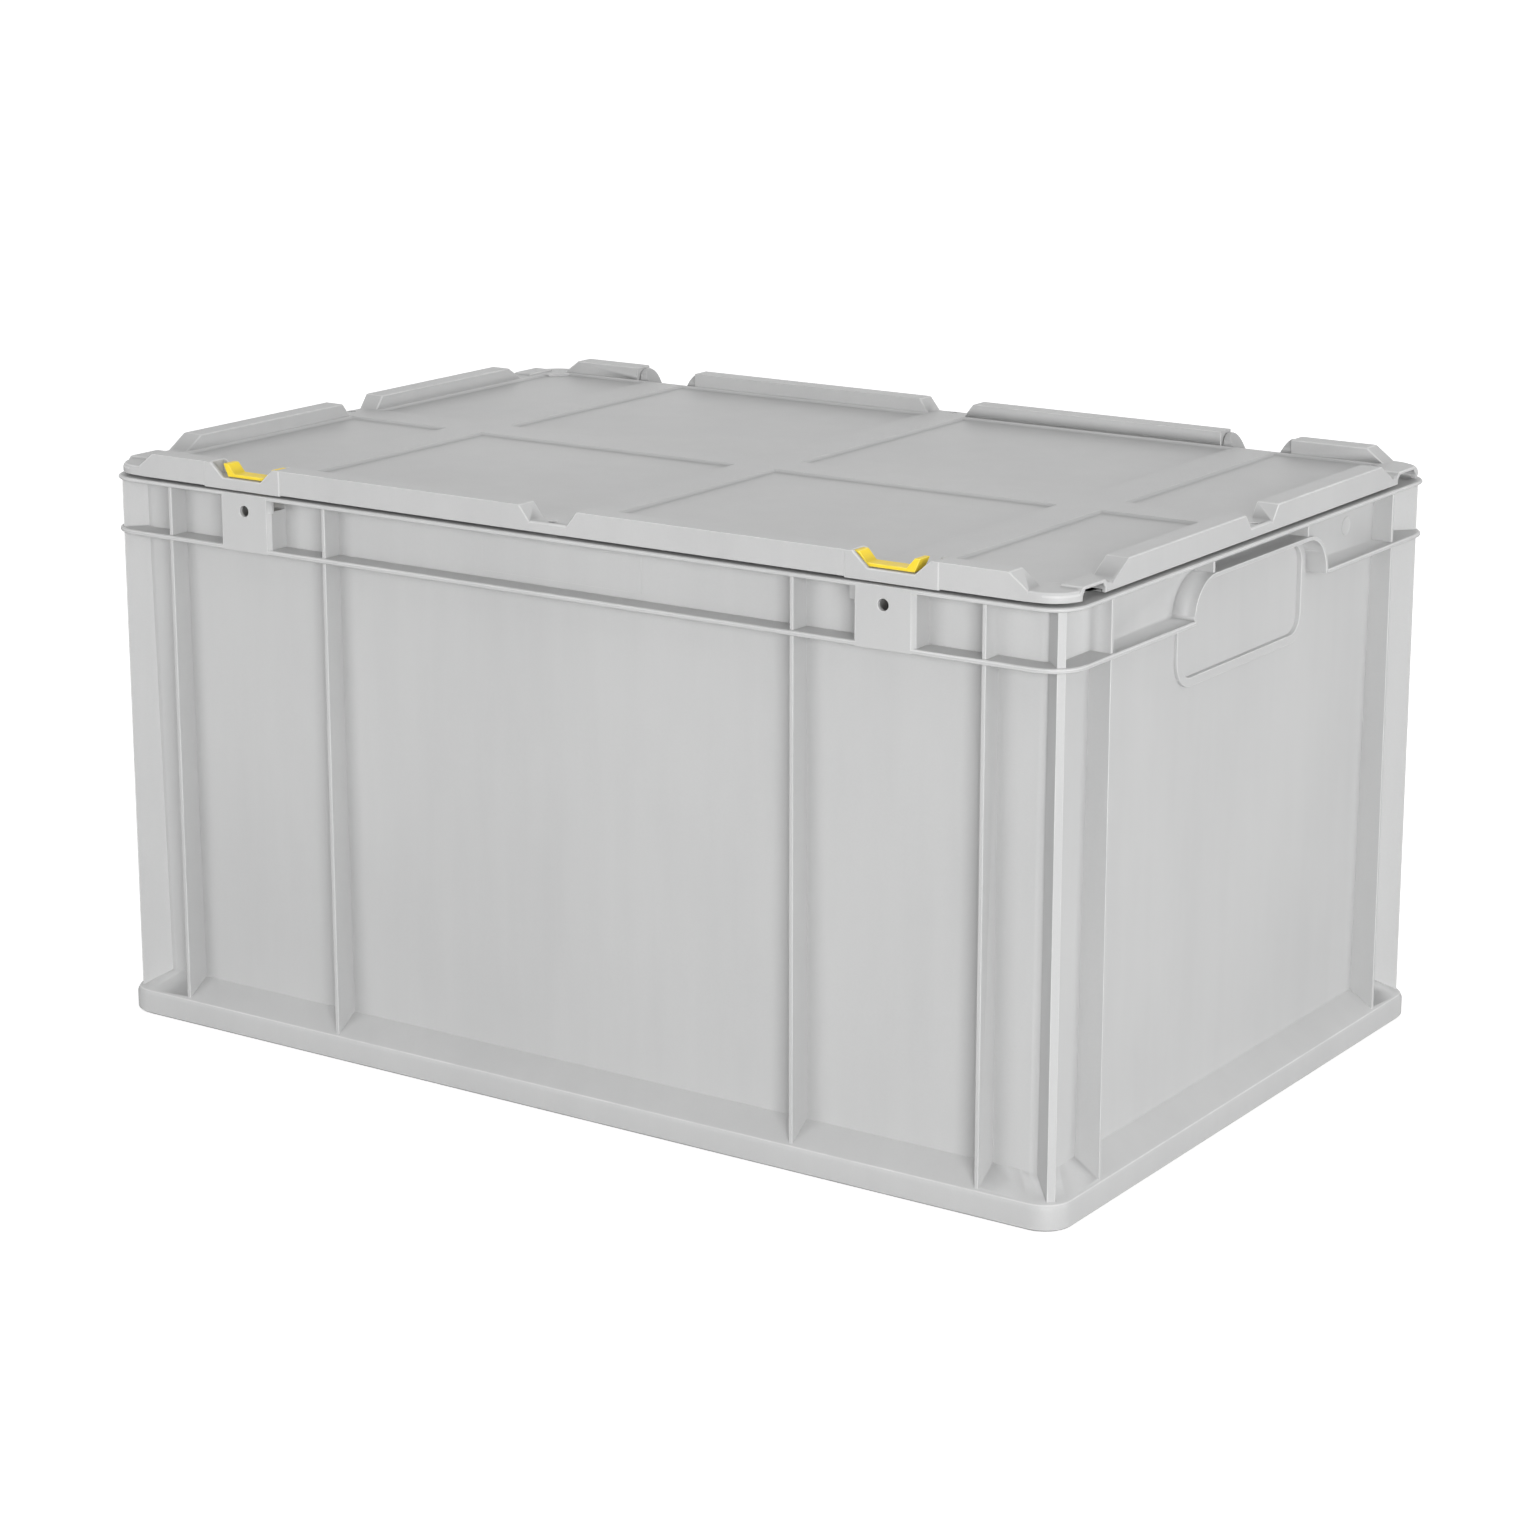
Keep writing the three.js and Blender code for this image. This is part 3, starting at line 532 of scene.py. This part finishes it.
def merged_copy(node: str, name: str) -> bpy.types.Object:
    """Copies a CAD node with its loose triangles joined into whole flat faces.

    Args:
        node: The CAD node's name.
        name: The copy's name.

    Returns:
        The copy, with its place in its mesh.
    """
    source = bpy.data.objects[node]
    mesh = source.data.copy()
    mesh.transform(source.matrix_world)
    mesh.materials.clear()
    piece = bpy.data.objects.new(name, mesh)
    bpy.context.scene.collection.objects.link(piece)
    select_only(piece)
    bpy.ops.object.mode_set(mode="EDIT")
    bpy.ops.mesh.select_all(action="SELECT")
    bpy.ops.mesh.remove_doubles(threshold=MERGE_DISTANCE)
    bpy.ops.mesh.dissolve_limited(angle_limit=math.radians(FLAT_ANGLE))
    bpy.ops.mesh.select_all(action="DESELECT")
    bpy.ops.object.mode_set(mode="OBJECT")
    return piece


def rounding_room(piece: bpy.types.Object) -> list[float]:
    """Works out how wide each edge's rounding may be before it runs into its neighbours.

    Args:
        piece: The piece.

    Returns:
        One width in metres for each edge of the piece's mesh.
    """
    mesh = piece.data
    room = [math.inf] * len(mesh.vertices)
    for face in mesh.polygons:
        corners = [mesh.vertices[index].co for index in face.vertices]
        for place, index in enumerate(face.vertices):
            back = corners[place - 1] - corners[place]
            ahead = corners[(place + 1) % len(corners)] - corners[place]
            slope = min(1.0, math.tan(back.angle(ahead) / 2.0))
            room[index] = min(room[index], ROUNDING_SHARE * min(back.length, ahead.length) * slope)
    return [min(room[index] for index in edge.vertices) for edge in mesh.edges]


def sharp_edges(piece: bpy.types.Object) -> set[int]:
    """Finds the edges where two faces meet at an outward corner.

    Args:
        piece: The piece.

    Returns:
        The edges' indices.
    """
    shape = bmesh.new()
    shape.from_mesh(piece.data)
    turn = math.radians(ROUNDED_ANGLE)
    found = {edge.index for edge in shape.edges if edge.calc_face_angle_signed(0.0) > turn}
    shape.free()
    return found


def stray_corners(rounded: bpy.types.Mesh, plain: bpy.types.Mesh, reach: float) -> set[int]:
    """Finds the corners whose rounding ran away from the piece's surface.

    Args:
        rounded: The rounded mesh.
        plain: The mesh before rounding.
        reach: How far a rounding may lie from the plain surface, in metres.

    Returns:
        The indices of the plain mesh's corners near each stray point.
    """
    surface = BVHTree.FromPolygons(
        [vertex.co for vertex in plain.vertices], [face.vertices for face in plain.polygons]
    )
    corners = KDTree(len(plain.vertices))
    for vertex in plain.vertices:
        corners.insert(vertex.co, vertex.index)
    corners.balance()
    places = [vertex.co for vertex in rounded.vertices if surface.find_nearest(vertex.co)[3] > reach]
    for face in rounded.polygons:
        facing = surface.find_nearest(face.center)[1]
        if face.material_index and facing.dot(face.normal) < 0.0:
            places.append(face.center)
    strays: set[int] = set()
    for place in places:
        nearest = corners.find(place)[2]
        strays.update(found[1] for found in corners.find_range(place, nearest + reach))
    return strays


def bevel_once(piece: bpy.types.Object, widths: dict[int, float], radius: float, segments: int) -> None:
    """Bevels chosen edges and gives the new faces the second material slot.

    Args:
        piece: The piece.
        widths: Each rounded edge's index and width in metres.
        radius: The widest rounding in metres.
        segments: Faces across each rounding.
    """
    select_only(piece)
    weight = piece.data.attributes.new("bevel_weight_edge", "FLOAT", "EDGE")
    for index, width in widths.items():
        weight.data[index].value = min(1.0, width / radius)
    bevel = piece.modifiers.new("rounding", "BEVEL")
    bevel.width = radius
    bevel.segments = segments
    bevel.limit_method = "WEIGHT"
    bevel.use_clamp_overlap = False
    bevel.loop_slide = True
    bevel.miter_outer = "MITER_SHARP"
    bevel.material = 1
    bpy.ops.object.modifier_apply(modifier=bevel.name)


def round_edges(piece: bpy.types.Object, radius: float, segments: int) -> None:
    """Rounds a piece's edges, as a mould does, and marks the rounded faces.

    Args:
        piece: The piece.
        radius: The rounding's width in metres, where there is room for it.
        segments: Faces across each rounding.
    """
    blank = bpy.data.materials.new(piece.name + "_blank")
    for _ in range(2):
        piece.data.materials.append(blank)
    plain = piece.data
    room = rounding_room(piece)
    widths = {index: room[index] for index in sharp_edges(piece) if room[index] > LEAST_ROUNDING}
    for _ in range(ROUNDING_TRIES):
        piece.data = plain.copy()
        bevel_once(piece, widths, radius, segments)
        strays = stray_corners(piece.data, plain, radius)
        if not strays:
            break
        widths = {
            index: width for index, width in widths.items() if strays.isdisjoint(plain.edges[index].vertices)
        }
    mark = piece.data.attributes.new(EDGE_ATTRIBUTE, "FLOAT", "FACE")
    for face in piece.data.polygons:
        mark.data[face.index].value = float(face.material_index)
        face.material_index = 0
    piece.data.materials.clear()
    bpy.data.meshes.remove(plain)
    bpy.data.materials.remove(blank)


def smooth_normals(piece: bpy.types.Object) -> None:
    """Shades a piece smoothly over its roundings and keeps its large faces flat.

    Args:
        piece: The piece.
    """
    select_only(piece)
    bpy.ops.object.shade_smooth_by_angle(angle=math.radians(SMOOTH_ANGLE))
    weighted = piece.modifiers.new("flat_faces", "WEIGHTED_NORMAL")
    weighted.mode = "FACE_AREA"
    weighted.weight = LARGE_FACE_WEIGHT
    weighted.keep_sharp = True
    bpy.ops.object.modifier_apply(modifier=weighted.name)


@dataclass
class SubAssembly:
    """Something that builds pieces and dresses them in finishes."""

    finishes: Finishes

    def dress(self, piece: bpy.types.Object, slot: Slot, body: Body) -> None:
        """Gives a piece its material and the body that it rides on.

        Args:
            piece: The piece.
            slot: The record's slot.
            body: The body.
        """
        piece.data.materials.clear()
        piece.data.materials.append(self.finishes.made[slot])
        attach(piece, body.value)
        log.info("%s: %d faces, rides on %s", piece.name, len(piece.data.polygons), body.value)

    def moulding(self, node: str, slot: Slot, body: Body, radius: float, segments: int) -> bpy.types.Object:
        """Makes the finished moulding of one CAD node.

        Args:
            node: The CAD node.
            slot: The record's slot.
            body: The body it rides on.
            radius: The edge rounding in metres.
            segments: Faces across each rounding.

        Returns:
            The finished piece.
        """
        piece = merged_copy(node, node + "_moulding")
        round_edges(piece, radius, segments)
        smooth_normals(piece)
        self.dress(piece, slot, body)
        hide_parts(node)
        return piece


@dataclass
class BoxBody(SubAssembly):
    """The open box."""

    edge_radius: float = 0.4 * MM
    segments: int = 2

    def build(self) -> None:
        """Builds and dresses the box."""
        self.moulding("box_body", Slot.GREY, Body.BOX, self.edge_radius, self.segments)


@dataclass
class Lid(SubAssembly):
    """The hinged lid."""

    edge_radius: float = 0.7 * MM
    segments: int = 2

    def build(self) -> None:
        """Builds and dresses the lid."""
        self.moulding("lid", Slot.GREY, Body.LID, self.edge_radius, self.segments)


@dataclass
class SlideLatches(SubAssembly):
    """The two yellow slide latches."""

    edge_radius: float = 0.4 * MM
    segments: int = 3

    def build(self) -> None:
        """Builds and dresses both latches."""
        for side, body in (("left", Body.LATCH_LEFT), ("right", Body.LATCH_RIGHT)):
            self.moulding("slide_latch_" + side, Slot.YELLOW, body, self.edge_radius, self.segments)


@dataclass
class HingeClips(SubAssembly):
    """The two hinge clips that carry the lid."""

    edge_radius: float = 0.35 * MM
    segments: int = 2

    def build(self) -> None:
        """Builds and dresses both clips."""
        for side in ("left", "right"):
            self.moulding("hinge_clip_" + side, Slot.CLIP, Body.BOX, self.edge_radius, self.segments)


@dataclass(frozen=True)
class MouldMark:
    """A round mark that a mould insert leaves: a thin ring round a shallow dish."""

    name: str
    place: Point
    facing: Point
    radius: float
    ring: float
    body: Body
    sides: int = 64
    thickness: float = 0.5 * MM
    dish_slope: float = 0.15 * MM
    dish_depth: float = 0.2 * MM
    edge_radius: float = 0.1 * MM
    segments: int = 2
    smooth_angle: float = 35.0
    aligned: float = 0.9

    def build(self) -> bpy.types.Object:
        """Models the mark on its wall.

        Returns:
            The finished mark.
        """
        turn = Vector(self.facing).to_track_quat("Z", "Y").to_euler()
        bpy.ops.object.select_all(action="DESELECT")
        bpy.ops.mesh.primitive_cylinder_add(
            vertices=self.sides, radius=self.radius, depth=self.thickness, location=self.place, rotation=turn
        )
        mark = bpy.context.active_object
        mark.name = self.name
        bpy.ops.object.transform_apply(location=True, rotation=True, scale=True)
        self.dish(mark)
        bevel = mark.modifiers.new("rounding", "BEVEL")
        bevel.width = self.edge_radius
        bevel.segments = self.segments
        bevel.limit_method = "ANGLE"
        bpy.ops.object.modifier_apply(modifier=bevel.name)
        bpy.ops.object.shade_smooth_by_angle(angle=math.radians(self.smooth_angle))
        return mark

    def dish(self, mark: bpy.types.Object) -> None:
        """Sinks the middle of the mark inside its ring.

        Args:
            mark: The mark's object.
        """
        facing = Vector(self.facing)
        bpy.ops.object.mode_set(mode="EDIT")
        bpy.ops.mesh.select_all(action="DESELECT")
        bpy.ops.object.mode_set(mode="OBJECT")
        for face in mark.data.polygons:
            face.select = face.normal.dot(facing) > self.aligned
        bpy.ops.object.mode_set(mode="EDIT")
        bpy.ops.mesh.select_mode(type="FACE")
        bpy.ops.mesh.inset(thickness=self.ring)
        bpy.ops.mesh.inset(thickness=self.dish_slope)
        bpy.ops.transform.translate(value=facing * -self.dish_depth)
        bpy.ops.object.mode_set(mode="OBJECT")


@dataclass
class MouldMarks(SubAssembly):
    """The round marks of the moulds on the lid, the right wall and the underside."""

    marks: tuple[MouldMark, ...] = (
        MouldMark(
            name="lid_gate_mark",
            place=(0.0, 0.0, 312.3 * MM),
            facing=(0.0, 0.0, 1.0),
            radius=3.4 * MM,
            ring=0.7 * MM,
            body=Body.LID,
        ),
        MouldMark(
            name="wall_insert_mark",
            place=(286.95 * MM, 119.5 * MM, 290.3 * MM),
            facing=(1.0, 0.0, 0.0),
            radius=5.0 * MM,
            ring=0.5 * MM,
            body=Body.BOX,
        ),
        MouldMark(
            name="floor_gate_mark",
            place=(0.0, 0.0, 3.55 * MM),
            facing=(0.0, 0.0, -1.0),
            radius=6.0 * MM,
            ring=1.0 * MM,
            body=Body.BOX,
        ),
    )

    def build(self) -> None:
        """Builds and dresses the marks."""
        for mark in self.marks:
            self.dress(mark.build(), Slot.GREY, mark.body)


@dataclass(frozen=True)
class SoftBox:
    """One large soft studio light."""

    name: str
    place: Point
    aim: Point
    width: float
    height: float
    watts: float

    def build(self) -> None:
        """Makes the light and points it."""
        data = bpy.data.lights.new(self.name, "AREA")
        data.shape = "RECTANGLE"
        data.size = self.width
        data.size_y = self.height
        data.energy = self.watts
        lamp = bpy.data.objects.new(self.name, data)
        bpy.context.scene.collection.objects.link(lamp)
        lamp.location = self.place
        lamp.rotation_euler = (Vector(self.aim) - Vector(self.place)).to_track_quat("-Z", "Y").to_euler()


@dataclass
class Studio:
    """A pale floor, soft light and the camera."""

    floor_size: float = 40.0
    floor_paint: Colour = (0.5, 0.5, 0.5, 1.0)
    floor_roughness: float = 0.75
    floor_specular: float = 0.2
    floor_glow: float = 0.74
    front_light: float = 0.1
    backdrop_light: float = 0.95
    backdrop_span: Span = (-0.2, 0.9)
    zenith_light: float = 0.72
    zenith_span: Span = (0.3, 0.95)
    soft_boxes: tuple[SoftBox, ...] = (
        SoftBox("corner_soft_box", (3.0, -3.0, 0.75), (0.2, -0.1, 0.16), 1.6, 1.8, 124.0),
        SoftBox("front_soft_box", (-1.6, -3.6, 0.75), (0.0, -0.2, 0.16), 2.4, 1.8, 54.0),
        SoftBox("right_soft_box", (3.8, 0.6, 0.75), (0.3, 0.0, 0.16), 2.0, 1.8, 50.0),
        SoftBox("back_soft_box", (-1.6, 3.2, 1.2), (0.0, 0.1, 0.2), 2.6, 2.0, 8.0),
    )
    camera_place: Point = (1.1194, -1.6602, 0.6864)
    camera_azimuth: float = 34.088
    camera_elevation: float = 14.063
    lens: float = 87.89
    sensor: float = 36.0
    farthest: float = 100.0
    shift: tuple[float, float] = (0.0039, -0.05)

    def build(self) -> None:
        """Builds the whole studio."""
        self.build_floor()
        self.build_light()
        self.build_camera()

    def build_floor(self) -> None:
        """Makes the floor and its pale material."""
        bpy.ops.object.select_all(action="DESELECT")
        bpy.ops.mesh.primitive_plane_add(size=self.floor_size, location=(0.0, 0.0, 0.0))
        floor = bpy.context.active_object
        floor.name = "studio_floor"
        material = bpy.data.materials.new("studio_floor_paint")
        material.use_nodes = True
        shader = material.node_tree.nodes["Principled BSDF"]
        shader.inputs["Base Color"].default_value = self.floor_paint
        shader.inputs["Roughness"].default_value = self.floor_roughness
        shader.inputs["Specular IOR Level"].default_value = self.floor_specular
        shader.inputs["Emission Color"].default_value = WHITE
        w = Wiring(material.node_tree)
        seen = w.add("ShaderNodeLightPath").outputs["Is Camera Ray"]
        w.feed(w.math("MULTIPLY", seen, self.floor_glow), shader.inputs["Emission Strength"])
        floor.data.materials.append(material)

    def build_light(self) -> None:
        """Makes the surrounding light and the soft boxes."""
        scene = bpy.context.scene
        scene.view_settings.view_transform = "Standard"
        scene.view_settings.look = "None"
        world = bpy.data.worlds.new("studio_light")
        scene.world = world
        world.use_nodes = True
        w = Wiring(world.node_tree)
        background = world.node_tree.nodes["Background"]
        split = w.add("ShaderNodeSeparateXYZ")
        world.node_tree.links.new(w.add("ShaderNodeTexCoord").outputs["Generated"], split.inputs[0])
        azimuth = math.radians(self.camera_azimuth)
        away = w.math(
            "SUBTRACT",
            w.math("MULTIPLY", split.outputs["Y"], math.cos(azimuth)),
            w.math("MULTIPLY", split.outputs["X"], math.sin(azimuth)),
        )
        backdrop = w.band(away, self.backdrop_span)
        around = w.math("MULTIPLY", backdrop, self.backdrop_light - self.front_light)
        level = w.math("ADD", around, self.front_light)
        height = w.band(split.outputs["Z"], self.zenith_span)
        raised = w.math("MULTIPLY", height, w.math("SUBTRACT", self.zenith_light, level))
        strength = w.math("ADD", level, raised)
        background.inputs["Color"].default_value = WHITE
        w.feed(strength, background.inputs["Strength"])
        for soft_box in self.soft_boxes:
            soft_box.build()

    def build_camera(self) -> None:
        """Makes the camera."""
        data = bpy.data.cameras.new("studio_camera")
        data.lens = self.lens
        data.sensor_width = self.sensor
        data.shift_x, data.shift_y = self.shift
        data.clip_end = self.farthest
        camera = bpy.data.objects.new("studio_camera", data)
        bpy.context.scene.collection.objects.link(camera)
        camera.location = self.camera_place
        camera.rotation_euler = (
            math.radians(90.0 - self.camera_elevation),
            0.0,
            math.radians(self.camera_azimuth),
        )
        bpy.context.scene.camera = camera


def main() -> None:
    """Builds the object and its studio."""
    finishes = Finishes()
    finishes.build()
    for assembly in (BoxBody, Lid, SlideLatches, HingeClips, MouldMarks):
        assembly(finishes).build()
    Studio().build()


if __name__ == "__main__":
    main()
